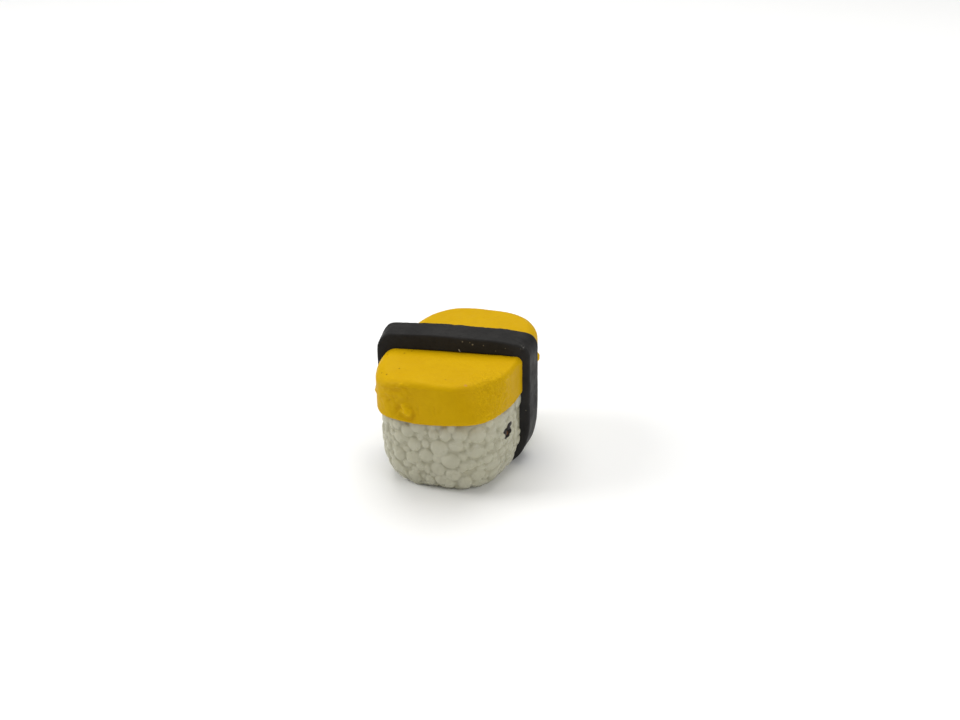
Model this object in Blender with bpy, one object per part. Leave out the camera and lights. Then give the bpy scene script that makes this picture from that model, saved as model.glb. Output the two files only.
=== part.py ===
"""Toy copy of egg sushi: a loaf of moulded rice, a thick slab of egg on it and a chunky band of seaweed.

Units are metres, +Z is up. The piece stands on the plane z = 0 with the origin under its middle, its front
end towards -Y and its back end towards +Y. The seaweed band runs round it, a little askew.
"""

import math
import random

import bpy
import bmesh
from mathutils import Matrix, Vector

# Driving dimensions, in metres
GAP = 0.0003  # clearance between two pieces that touch

SLAB_TOP = 0.01698
SLAB_HALF_WIDTH = 0.00952
SLAB_HALF_LENGTH = 0.01379
SLAB_THICKNESS = 0.00579
SLAB_FOOT_SLOPE = 0.029  # the slab's underside rises this much, per metre, towards the right
SLAB_TOP_SLOPE = -0.012  # its top falls this much towards the right
SLAB_FALL = -0.010  # and this much towards the back
SLAB_SQUARE_LEFT = 3.45  # exponent of the plan outline, at the front: 2 is an ellipse, more is squarer
SLAB_SQUARE_RIGHT = 4.0
SLAB_SQUARE_BACK = 2.95
SLAB_TWIST = -0.028  # in front of the band its top falls this much more towards the right
SLAB_DROOP = 0.0009  # how far its front left corner hangs down
SLAB_DROOP_X = -0.0072
SLAB_DROOP_Y = -0.0126
SLAB_DROOP_REACH = 0.0026
SLAB_TOP_ROUND = 0.0019  # rounding of the top edge, on the left and at the back
SLAB_SHARP_FRONT = 0.0008  # how much tighter it is in front
SLAB_SHARP_RIGHT = 0.00095  # and on the right
SLAB_FOOT_ROUND = 0.0006

RICE_INSET = 0.0007  # from the slab's wall in to the rice's
RICE_SHORTER = 0.0008  # how much further in it is at the ends
RICE_SQUARE_RIGHT = 3.1  # in place of the slab's
RICE_HEIGHT = SLAB_TOP - SLAB_THICKNESS - GAP  # in the middle: its top slopes as the slab does
RICE_FOOT_IN = 0.0034  # how far the rice curls in under itself at the foot
RICE_FOOT_UP = 0.0064  # how high that curl reaches
RICE_SHOULDER = 0.0005

GRAIN_RADII = (0.00112, 0.00098, 0.00084, 0.00070)  # the big grains are laid first, then the small
GRAIN_SPACING = 0.86  # two grains are at least this share of their radii's sum apart
GRAIN_RISE = 0.34  # how far a grain stands out of the loaf, as a share of its radius
GRAIN_TRIES = 2600  # for each of the radii
GRAIN_SEED = 14

BAND_MIDDLE = -0.00123  # the band's place along the slab
BAND_SKEW = math.radians(12.0)
BAND_HALF_WIDTH = 0.00207
BAND_TOP = SLAB_TOP + 0.00208  # height of the band's upper face, over the middle
BAND_SLOPE = -0.063  # that face falls this much, per metre, towards the right
BAND_INNER_SLOPE = -0.035  # and the underside of that run this much
BAND_HALF = 0.01080  # half the width over the band
BAND_THICK_TOP = 0.00178
BAND_THICK_SIDE = 0.00175
BAND_FOOT = 0.0009  # thickness underneath
BAND_BEND_LEFT = 0.0120  # height under which the band's sides curl in
BAND_BEND_RIGHT = 0.0078
BAND_CURL_LEFT = 0.0046
BAND_CURL_RIGHT = 0.0043
BAND_ROUND_LEFT = 0.0034  # the two upper corners
BAND_ROUND_RIGHT = 0.0020
BAND_EDGE = 0.00035  # rounding of its long edges

SLAB_SEGMENTS = 56
SLAB_RINGS = 20
RICE_SEGMENTS = 44
RICE_RINGS = 18

EGG_COLOUR = (0.66, 0.37, 0.008, 1.0)
RICE_COLOUR = (0.60, 0.59, 0.53, 1.0)
SEAWEED_COLOUR = (0.014, 0.014, 0.013, 1.0)


def clear_scene():
    """Removes every object that Blender started with."""
    for thing in list(bpy.data.objects):
        bpy.data.objects.remove(thing)


def new_collection(name):
    """A collection linked to the scene."""
    group = bpy.data.collections.new(name)
    bpy.context.scene.collection.children.link(group)
    return group


def paint(name, colour, roughness):
    """A Principled material of one colour."""
    material = bpy.data.materials.new(name)
    material.use_nodes = True
    shader = material.node_tree.nodes["Principled BSDF"]
    shader.inputs["Base Color"].default_value = colour
    shader.inputs["Roughness"].default_value = roughness
    shader.inputs["Metallic"].default_value = 0.0
    material.diffuse_color = colour
    return material


def add_object(name, shape, group, material=None):
    """A mesh object made from the bmesh, which is freed."""
    mesh = bpy.data.meshes.new(name)
    shape.to_mesh(mesh)
    shape.free()
    if material:
        mesh.materials.append(material)
    made = bpy.data.objects.new(name, mesh)
    group.objects.link(made)
    return made


def shaped_ball(segments, rings, place):
    """A closed ball of faces, with each vertex put where place(turn, drop) says. drop is 0 at the top."""
    shape = bmesh.new()
    bmesh.ops.create_uvsphere(shape, u_segments=segments, v_segments=rings, radius=1.0)
    for vertex in shape.verts:
        turn = math.atan2(vertex.co.y, vertex.co.x)
        drop = math.acos(max(-1.0, min(1.0, vertex.co.z))) / math.pi
        vertex.co = place(turn, drop)
    shape.normal_update()
    bmesh.ops.recalc_face_normals(shape, faces=shape.faces[:])
    return shape


def plan_point(turn, inset, height, shorter=0.0, square_right=SLAB_SQUARE_RIGHT):
    """The point of the slab's outline in the direction turn, moved in by inset, at that height."""
    across, along = math.cos(turn), math.sin(turn)
    square = SLAB_SQUARE_LEFT if across < 0 else square_right
    if along > 0:
        square = SLAB_SQUARE_BACK
    width = abs(across) / (SLAB_HALF_WIDTH - inset)
    length = abs(along) / (SLAB_HALF_LENGTH - inset - shorter)
    reach = (width**square + length**square) ** (-1 / square)
    return Vector((reach * across, reach * along, height))


def slab_foot(x):
    """Height of the slab's underside at x."""
    return SLAB_TOP - SLAB_THICKNESS + SLAB_FOOT_SLOPE * x


def top_round(turn):
    """Rounding of the slab's top edge in the direction turn: tighter in front and on the right."""
    front = max(0.0, math.cos(turn + math.radians(75))) ** 2
    right = max(0.0, math.cos(turn + math.radians(5))) ** 3
    return SLAB_TOP_ROUND - SLAB_SHARP_FRONT * front - SLAB_SHARP_RIGHT * right


def across_band(x, y):
    """How far a place is behind the band's middle, measured square to the band."""
    return (y - BAND_MIDDLE) * math.cos(BAND_SKEW) - x * math.sin(BAND_SKEW)


def top_shift(x, y):
    """How far the slab's top is above or below the level of its middle."""
    shift = SLAB_FALL * y + SLAB_TOP_SLOPE * x
    front = min(1.0, max(0.0, 0.5 - 0.5 * across_band(x, y) / BAND_HALF_WIDTH))
    shift += SLAB_TWIST * x * front * front * (3 - 2 * front)
    from_corner = ((x - SLAB_DROOP_X) ** 2 + (y - SLAB_DROOP_Y) ** 2) / (2 * SLAB_DROOP_REACH**2)
    return shift - SLAB_DROOP * math.exp(-from_corner)


def slab_place(turn, drop):
    """The slab's surface: top, rounded edge, wall, rounded foot and underside."""
    cap, edge, wall, foot = 0.22, 0.50, 0.72, 0.80  # where each stretch of the profile ends
    rounding = top_round(turn)
    if drop < cap:
        rim = plan_point(turn, rounding, SLAB_TOP)
        share = (drop / cap) ** 0.8
        point = Vector((rim.x * share, rim.y * share, SLAB_TOP))
    elif drop < edge:
        angle = math.pi / 2 * (drop - cap) / (edge - cap)
        height = SLAB_TOP - rounding * (1 - math.cos(angle))
        point = plan_point(turn, rounding * (1 - math.sin(angle)), height)
    elif drop < wall:
        share = (drop - edge) / (wall - edge)
        point = plan_point(turn, 0.0, SLAB_TOP - rounding)
        point.z += (slab_foot(point.x) + SLAB_FOOT_ROUND - point.z) * share
    elif drop < foot:
        angle = math.pi / 2 * (drop - wall) / (foot - wall)
        point = plan_point(turn, SLAB_FOOT_ROUND * (1 - math.cos(angle)), 0.0)
        point.z = slab_foot(point.x) + SLAB_FOOT_ROUND * (1 - math.sin(angle))
    else:
        rim = plan_point(turn, SLAB_FOOT_ROUND, 0.0)
        share = 1 - (drop - foot) / (1 - foot)
        point = Vector((rim.x * share, rim.y * share, slab_foot(rim.x * share)))
    rise = (point.z - slab_foot(point.x)) / SLAB_THICKNESS
    point.z += rise * top_shift(point.x, point.y)
    return point


def rice_inset(height):
    """How far in from the slab's outline the rice's wall is, at that height."""
    inset = RICE_INSET
    if height < RICE_FOOT_UP:
        depth = 1 - height / RICE_FOOT_UP
        inset += RICE_FOOT_IN * (1 - (1 - depth**2.4) ** (1 / 2.4))
    shoulder = RICE_HEIGHT - RICE_SHOULDER
    if height > shoulder:
        depth = (height - shoulder) / RICE_SHOULDER
        inset += RICE_SHOULDER * (1 - math.sqrt(max(0.0, 1 - depth**2)))
    return inset


def rice_point(turn, height):
    """A point of the loaf's wall."""
    point = plan_point(turn, rice_inset(height), height, RICE_SHORTER, RICE_SQUARE_RIGHT)
    point.z *= 1 + SLAB_FOOT_SLOPE * point.x / RICE_HEIGHT
    return point


def rice_normal(turn, height):
    """The outward direction of the loaf's wall there."""
    low, high = max(0.0, height - 1e-4), min(RICE_HEIGHT, height + 1e-4)
    along = rice_point(turn + 0.01, height) - rice_point(turn - 0.01, height)
    up = rice_point(turn, high) - rice_point(turn, low)
    return along.cross(up).normalized()


def rice_place(turn, drop):
    """The loaf's surface, from the middle of its top down its wall to the middle of its flat foot."""
    cap, wall = 0.12, 0.90
    if drop < cap:
        rim = rice_point(turn, RICE_HEIGHT)
        share = drop / cap
        point = Vector((rim.x * share, rim.y * share, RICE_HEIGHT + SLAB_FOOT_SLOPE * rim.x * share))
    elif drop < wall:
        share = 1 - (drop - cap) / (wall - cap)
        point = rice_point(turn, RICE_HEIGHT * share**1.25)
    else:
        rim = rice_point(turn, 0.0)
        share = 1 - (drop - wall) / (1 - wall)
        point = Vector((rim.x * share, rim.y * share, 0.0))
    return point


def grain_spots():
    """Grains on the loaf's wall as (middle, outward direction, radius), laid by seeded darts."""
    chance = random.Random(GRAIN_SEED)
    spots = []
    for radius in GRAIN_RADII:
        for _ in range(GRAIN_TRIES):
            turn = chance.uniform(-math.pi, math.pi)
            height = 0.0003 + (RICE_HEIGHT - 0.0007) * chance.random() ** 1.2
            size = radius * chance.uniform(0.94, 1.06)
            point = rice_point(turn, height)
            if all((point - other).length > GRAIN_SPACING * (size + near) for other, _, near in spots):
                spots.append((point, rice_normal(turn, height), size))
    return spots


def beside_band(point):
    """How far a point is outside the band's two edges. Negative is under the band."""
    return abs(across_band(point.x, point.y)) - BAND_HALF_WIDTH


def make_grains(group):
    """Pebble-like domes on the loaf, each a flattened ball of few faces turned to face outwards."""
    for number, (point, outward, radius) in enumerate(grain_spots()):
        upright = radius * math.hypot(outward.x, outward.y)
        above = max(0.0, point.z + upright - RICE_HEIGHT - SLAB_FOOT_SLOPE * point.x + 0.0001)
        if beside_band(point) < 0.4 * radius or above > 0.7 * radius:
            continue
        shape = bmesh.new()
        bmesh.ops.create_uvsphere(shape, u_segments=6, v_segments=4, radius=1.0)
        for vertex in shape.verts:
            vertex.co.z = math.copysign(abs(vertex.co.z) ** 0.45, vertex.co.z)
        thick = GRAIN_RISE * radius
        size = Matrix.Diagonal((radius * 1.04, radius * 1.04, thick * 1.25, 1.0))
        spin = Matrix.Rotation(number * 2.4, 4, "Z")
        facing = outward.to_track_quat("Z", "Y").to_matrix().to_4x4() @ spin
        middle = Matrix.Translation(point - outward * thick * 0.25 - Vector((0.0, 0.0, above)))
        bmesh.ops.transform(shape, matrix=middle @ facing @ size, verts=shape.verts)
        lowest = min(vertex.co.z for vertex in shape.verts)
        if lowest < 0.00003:
            bmesh.ops.translate(shape, vec=(0.0, 0.0, 0.00003 - lowest), verts=shape.verts)
        add_object(f"grain_{number:03d}", shape, group)


def side_in(side, height):
    """How far the band's side has curled in at that height. side is 1 on the right and -1 on the left."""
    bend, curl = (BAND_BEND_RIGHT, BAND_CURL_RIGHT) if side > 0 else (BAND_BEND_LEFT, BAND_CURL_LEFT)
    depth = max(0.0, 1 - height / bend)
    return curl * (1 - (1 - depth**2.3) ** (1 / 2.3))


def band_outline(share, more=0.0):
    """The band's outline seen from the front, as a closed list of (x, z).

    It lies that share of the way in through the band's thickness, and then more metres further in.
    """
    half = BAND_HALF - BAND_THICK_SIDE * share - more
    low = BAND_FOOT * share + more
    slope = BAND_SLOPE + (BAND_INNER_SLOPE - BAND_SLOPE) * min(1.0, max(0.0, share))
    points = []
    for side, corner in ((1, BAND_ROUND_RIGHT), (-1, BAND_ROUND_LEFT)):
        rounding = max(0.0006, corner - BAND_THICK_SIDE * share - more)
        middle = half - rounding
        top = BAND_TOP - BAND_THICK_TOP * share - more + slope * side * middle
        run = []
        for step in range(12):
            height = low + (top - rounding - low) * (step / 12) ** 1.6
            run.append((side * (half - side_in(side, (height - low) * (1 + 0.1 * share))), height))
        for step in range(7):
            angle = math.pi / 2 * step / 6
            run.append((side * (middle + rounding * math.cos(angle)), top - rounding * (1 - math.sin(angle))))
        points.extend(run if side == 1 else reversed(run))
    return points


def band_ring(name, section, group, material=None):
    """A closed ring round the sushi, a torus led through the band's outlines.

    section is a list of (share, more, y), going round the ring's cross-section: see band_outline.
    """
    outlines = [band_outline(share, more) for share, more, _ in section]
    bpy.ops.mesh.primitive_torus_add(major_segments=len(outlines[0]), minor_segments=len(section))
    torus = bpy.context.object
    shape = bmesh.new()
    shape.from_mesh(torus.data)
    bpy.data.objects.remove(torus)
    placed = Matrix.Translation((0.0, BAND_MIDDLE, 0.0)) @ Matrix.Rotation(BAND_SKEW, 4, "Z")
    for vertex in shape.verts:
        step, corner = divmod(vertex.index, len(section))
        x, z = outlines[corner][step]
        vertex.co = placed @ Vector((x, section[corner][2], z))
    shape.normal_update()
    bmesh.ops.recalc_face_normals(shape, faces=shape.faces[:])
    return add_object(name, shape, group, material)


def make_band(group):
    """The seaweed: a closed ring, thick over the top and thinner at the sides and underneath."""
    edge, width = BAND_EDGE, BAND_HALF_WIDTH
    section = [
        (1.0, 0.0, -width),
        (0.0, edge, -width),
        (0.0, 0.3 * edge, -width + 0.3 * edge),
        (0.0, 0.0, -width + edge),
        (0.0, 0.0, width - edge),
        (0.0, 0.3 * edge, width - 0.3 * edge),
        (0.0, edge, width),
        (1.0, 0.0, width),
    ]
    return band_ring("seaweed_band", section, group, paint("seaweed", SEAWEED_COLOUR, 0.5))


def make_groove_cutter(helpers):
    """What the band takes up, grown by the gap, and all that is outside it."""
    width = BAND_HALF_WIDTH + GAP
    section = [(1.0, GAP, -width), (0.0, -0.003, -width), (0.0, -0.003, width), (1.0, GAP, width)]
    cutter = band_ring("band_groove", section, helpers)
    cutter.hide_render = True
    cutter.display_type = "WIRE"
    return cutter


def cut(target, cutter):
    """Takes the cutter's shape out of the target."""
    groove = target.modifiers.new(f"less {cutter.name}", "BOOLEAN")
    groove.operation = "DIFFERENCE"
    groove.object = cutter


def make_slab(group, cutter):
    """The egg: a thick pad with squared ends and a soft top edge, pinched in by the band."""
    shape = shaped_ball(SLAB_SEGMENTS, SLAB_RINGS, slab_place)
    slab = add_object("egg_slab", shape, group, paint("egg", EGG_COLOUR, 0.5))
    cut(slab, cutter)
    return slab


def make_rice(group, cutter):
    """The rice: a loaf with its grains fused on, pinched in by the band."""
    shape = shaped_ball(RICE_SEGMENTS, RICE_RINGS, rice_place)
    rice = add_object("rice_loaf", shape, group, paint("rice", RICE_COLOUR, 0.4))
    grains = new_collection("grains")
    make_grains(grains)
    joined = rice.modifiers.new("grains", "BOOLEAN")
    joined.operation = "UNION"
    joined.operand_type = "COLLECTION"
    joined.collection = grains
    with bpy.context.temp_override(object=rice, active_object=rice):
        bpy.ops.object.modifier_apply(modifier=joined.name)
    for grain in list(grains.objects):
        bpy.data.objects.remove(grain)
    bpy.data.collections.remove(grains)
    cut(rice, cutter)
    return rice


def main():
    """Builds the sushi."""
    clear_scene()
    sushi = new_collection("egg_sushi")
    cutter = make_groove_cutter(new_collection("cutters"))
    make_slab(sushi, cutter)
    make_rice(sushi, cutter)
    make_band(sushi)
    for piece in sushi.objects:
        piece.data.shade_smooth()
        piece.data.set_sharp_from_angle(angle=math.radians(35))


main()
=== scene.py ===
"""Dresses a toy egg sushi: a loaf of moulded rice, a thick slab of egg and a chunky band of seaweed.

Units are metres, +Z is up. The front end points towards -Y, the right side towards +X.
"""

import itertools
import logging
import math
import random
import sys
from dataclasses import dataclass, field
from enum import Enum

import bmesh
import bpy
import numpy as np
from mathutils import Matrix, Vector


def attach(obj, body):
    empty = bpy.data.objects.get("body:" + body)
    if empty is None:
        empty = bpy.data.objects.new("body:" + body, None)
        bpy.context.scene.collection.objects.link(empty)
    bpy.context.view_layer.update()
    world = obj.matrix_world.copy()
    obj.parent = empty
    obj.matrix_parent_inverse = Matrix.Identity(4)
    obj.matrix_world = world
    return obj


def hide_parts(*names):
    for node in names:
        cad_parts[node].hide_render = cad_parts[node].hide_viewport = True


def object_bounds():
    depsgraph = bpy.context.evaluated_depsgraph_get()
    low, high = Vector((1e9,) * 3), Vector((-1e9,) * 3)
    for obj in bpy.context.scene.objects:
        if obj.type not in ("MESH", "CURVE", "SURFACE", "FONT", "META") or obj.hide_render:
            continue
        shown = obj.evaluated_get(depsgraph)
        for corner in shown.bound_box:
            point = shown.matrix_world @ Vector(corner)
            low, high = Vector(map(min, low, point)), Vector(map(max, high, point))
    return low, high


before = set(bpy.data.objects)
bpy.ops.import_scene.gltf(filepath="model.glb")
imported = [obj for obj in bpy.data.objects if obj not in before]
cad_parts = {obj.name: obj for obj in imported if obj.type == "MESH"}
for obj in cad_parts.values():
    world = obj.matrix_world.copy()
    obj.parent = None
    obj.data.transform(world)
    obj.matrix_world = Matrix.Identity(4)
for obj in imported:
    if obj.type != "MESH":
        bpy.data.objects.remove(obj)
cad_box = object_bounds()

MM = 0.001
Pair = tuple[float, float]
Triple = tuple[float, float, float]
Socket = bpy.types.NodeSocket
LOG = logging.getLogger("sushi")


class Slot(Enum):
    """The record's material slots."""

    EGG = "egg"
    RICE = "rice"
    SEAWEED = "seaweed"


# Shared measures


@dataclass(frozen=True)
class Plan:
    """The slab's outline seen from above, and the slopes that the slab and the rice share."""

    half_width: float = 9.52 * MM
    half_length: float = 13.79 * MM
    square_left: float = 3.45
    square_right: float = 4.0
    square_back: float = 2.95
    top: float = 16.98 * MM
    thickness: float = 5.79 * MM
    foot_slope: float = 0.029

    def outline(
        self, turn: np.ndarray, inset: np.ndarray, shorter: float = 0.0, square_right: float | None = None
    ) -> np.ndarray:
        """Points of the outline.

        Args:
            turn: direction of each point from the middle, in radians.
            inset: how far in from the outline each point is.
            shorter: how much further in the ends are.
            square_right: squareness of the front's right, in place of the slab's.

        Returns:
            An array of (x, y), one row for each point.
        """
        across, along = np.cos(turn), np.sin(turn)
        right = self.square_right if square_right is None else square_right
        square = np.where(along > 0, self.square_back, np.where(across < 0, self.square_left, right))
        width = np.abs(across) / (self.half_width - inset)
        length = np.abs(along) / (self.half_length - inset - shorter)
        reach = (width**square + length**square) ** (-1 / square)
        return np.stack([reach * across, reach * along], axis=-1)

    def foot(self, x: np.ndarray) -> np.ndarray:
        """Height of the slab's underside at x."""
        return self.top - self.thickness + self.foot_slope * x


@dataclass(frozen=True)
class BandShape:
    """The seaweed band's outline seen from the front, and where it lies."""

    middle: float = -1.23 * MM
    skew: float = math.radians(12.0)
    half_width: float = 2.07 * MM
    top: float = 19.06 * MM
    slope: float = -0.063
    inner_slope: float = -0.035
    half: float = 10.80 * MM
    thick_top: float = 1.78 * MM
    thick_side: float = 1.75 * MM
    foot: float = 0.9 * MM
    bend_left: float = 12.0 * MM
    bend_right: float = 7.8 * MM
    curl_left: float = 4.6 * MM
    curl_right: float = 4.3 * MM
    round_left: float = 2.5 * MM
    round_right: float = 2.0 * MM
    least_round: float = 0.6 * MM
    belly: float = 2.3
    inner_curl: float = 0.1
    low_rows: float = 1.6

    def side_in(self, side: int, height: np.ndarray) -> np.ndarray:
        """How far a side has curled in at that height. side is 1 on the right and -1 on the left."""
        bend, curl = (self.bend_right, self.curl_right) if side > 0 else (self.bend_left, self.curl_left)
        depth = np.clip(1 - height / bend, 0, 1)
        return curl * (1 - (1 - depth**self.belly) ** (1 / self.belly))

    def outline(self, share: float, more: float, steps: tuple[int, int, int, int]) -> np.ndarray:
        """The closed outline at some depth in the band.

        Args:
            share: depth as a share of the thickness. 0 is the outer face, 1 the inner one.
            more: metres further in.
            steps: points on half the foot, on a side, on a corner and on half the top.

        Returns:
            An array of (x, z), starting under the middle and going round by the right.
        """
        half = self.half - self.thick_side * share - more
        low = self.foot * share + more
        slope = self.slope + (self.inner_slope - self.slope) * min(1.0, max(0.0, share))
        foot_steps, side_steps, corner_steps, top_steps = steps
        runs = []
        for side, corner in ((1, self.round_right), (-1, self.round_left)):
            rounding = max(self.least_round, corner - self.thick_side * share - more)
            middle = half - rounding
            top = self.top - self.thick_top * share - more + slope * side * middle
            part = np.arange(side_steps) / side_steps
            height = low + (top - rounding - low) * part**self.low_rows
            curled = self.side_in(side, (height - low) * (1 + self.inner_curl * share))
            wall = np.stack([side * (half - curled), height], 1)
            angle = np.linspace(0, math.pi / 2, corner_steps)
            across = middle + rounding * np.cos(angle)
            arc = np.stack([side * across, top - rounding * (1 - np.sin(angle))], 1)
            flat = np.linspace(0, 1, foot_steps, endpoint=False)[:, None]
            under = np.array([[0.0, low]]) * (1 - flat) + wall[:1] * flat
            runs.append([under, wall, arc])
        right, left = runs
        crown = np.array([(right[2][-1] + left[2][-1]) / 2])
        over = np.linspace(0, 1, top_steps + 2)[1:-1, None]
        return np.concatenate(
            right
            + [right[2][-1:] * (1 - over) + crown * over, crown, crown * (1 - over) + left[2][-1:] * over]
            + [left[2][::-1], left[1][::-1], left[0][:0:-1]]
        )

    def across(self, points: np.ndarray) -> np.ndarray:
        """How far points are behind the band's middle, measured square to the band."""
        return (points[..., 1] - self.middle) * math.cos(self.skew) - points[..., 0] * math.sin(self.skew)

    def beside(self, points: np.ndarray) -> np.ndarray:
        """How far points are outside the band's two edges. Negative is under the band."""
        return np.abs(self.across(points)) - self.half_width


PLAN = Plan()
BAND = BandShape()


# Helpers

LATTICE = 32
LAYER_OFFSET = 17.3


def cloud(points: np.ndarray, size: float, seed: int, layers: int = 1) -> np.ndarray:
    """Smooth seeded noise at points.

    Args:
        points: rows of (x, y, z) in metres.
        size: distance between two bumps of the coarsest layer.
        seed: seed of the lattice.
        layers: number of layers, each half the size and half the height of the last.

    Returns:
        One value for each point, about -1 to 1.
    """
    lattice = np.random.default_rng(seed).uniform(-1, 1, (LATTICE,) * 3)
    total, height = np.zeros(len(points)), 1.0
    for layer in range(layers):
        at = points / size * 2**layer + LAYER_OFFSET * (layer + 1)
        cell = np.floor(at).astype(int)
        part = at - cell
        part = part * part * (3 - 2 * part)
        for corner in itertools.product((0, 1), repeat=3):
            weight = np.prod(np.where(corner, part, 1 - part), axis=1)
            total += height * weight * lattice[tuple(((cell + corner) % LATTICE).T)]
        height *= 0.5
    return total


def smooth_step(value: np.ndarray, low: float, high: float) -> np.ndarray:
    """0 below low, 1 above high, and a smooth rise between them."""
    part = np.clip((value - low) / (high - low), 0, 1)
    return part * part * (3 - 2 * part)


def new_object(name: str, mesh: bpy.types.Mesh) -> bpy.types.Object:
    """An object with that mesh, at the origin, in the scene."""
    made = bpy.data.objects.new(name, mesh)
    bpy.context.scene.collection.objects.link(made)
    return made


def mesh_from(name: str, points: np.ndarray, faces: list[tuple[int, ...]]) -> bpy.types.Mesh:
    """A smooth-shaded mesh with its faces turned outwards."""
    mesh = bpy.data.meshes.new(name)
    mesh.from_pydata(points.tolist(), [], faces)
    shape = bmesh.new()
    shape.from_mesh(mesh)
    shape.normal_update()
    bmesh.ops.recalc_face_normals(shape, faces=shape.faces[:])
    shape.to_mesh(mesh)
    shape.free()
    mesh.shade_smooth()
    return mesh


def places(mesh: bpy.types.Mesh) -> np.ndarray:
    """The places of a mesh's points, one row each."""
    flat = np.zeros(len(mesh.vertices) * 3)
    mesh.vertices.foreach_get("co", flat)
    return flat.reshape(-1, 3)


def remember(mesh: bpy.types.Mesh, name: str, values: np.ndarray, kind: str = "FLOAT") -> None:
    """Stores a value for each of a mesh's points under that name."""
    mesh.attributes.new(name, kind, "POINT").data.foreach_set("value", values)


def outward(mesh: bpy.types.Mesh) -> np.ndarray:
    """The outward directions at a mesh's points, one row each."""
    flat = np.zeros(len(mesh.vertices) * 3)
    mesh.vertex_normals.foreach_get("vector", flat)
    return flat.reshape(-1, 3)


def put(mesh: bpy.types.Mesh, points: np.ndarray) -> None:
    """Moves a mesh's points to new places."""
    mesh.vertices.foreach_set("co", points.ravel())
    mesh.update()


def inside_box(points: np.ndarray) -> np.ndarray:
    """The points, held just inside the CAD model's box."""
    low, high = (np.array(corner, float) for corner in cad_box)
    edge = 0.002 * MM
    return np.clip(points, low + np.array([edge, edge, 0.0]), high - edge)


def ball_faces(turns: int, rings: int) -> list[tuple[int, ...]]:
    """Faces of a closed ball of rings, whose first and last points are its poles."""
    last = 1 + turns * rings
    faces: list[tuple[int, ...]] = []
    for turn in range(turns):
        after = (turn + 1) % turns
        faces.append((0, 1 + turn, 1 + after))
        for ring in range(rings - 1):
            low, high = 1 + ring * turns, 1 + (ring + 1) * turns
            faces.append((low + turn, high + turn, high + after, low + after))
        end = 1 + (rings - 1) * turns
        faces.append((end + turn, last, end + after))
    return faces


TOP = (1.0, 1.0, 0.15)
FRONT = (1.0, 0.15, 1.0)
SIDE = (0.15, 1.0, 1.0)
BALL = (1.0, 1.0, 1.0)


class Mark:
    """A small mark on a surface, such as a pit or a speck, drawn long through the surface."""

    def __init__(self, middle: Triple, size: float, strength: float = 1.0, squash: Triple = TOP) -> None:
        """Takes the middle and the radius in millimetres, how strong it is, and its squash on each axis."""
        self.place = tuple(part * MM for part in middle)
        self.size, self.strength, self.squash = size * MM, strength, squash


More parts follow.
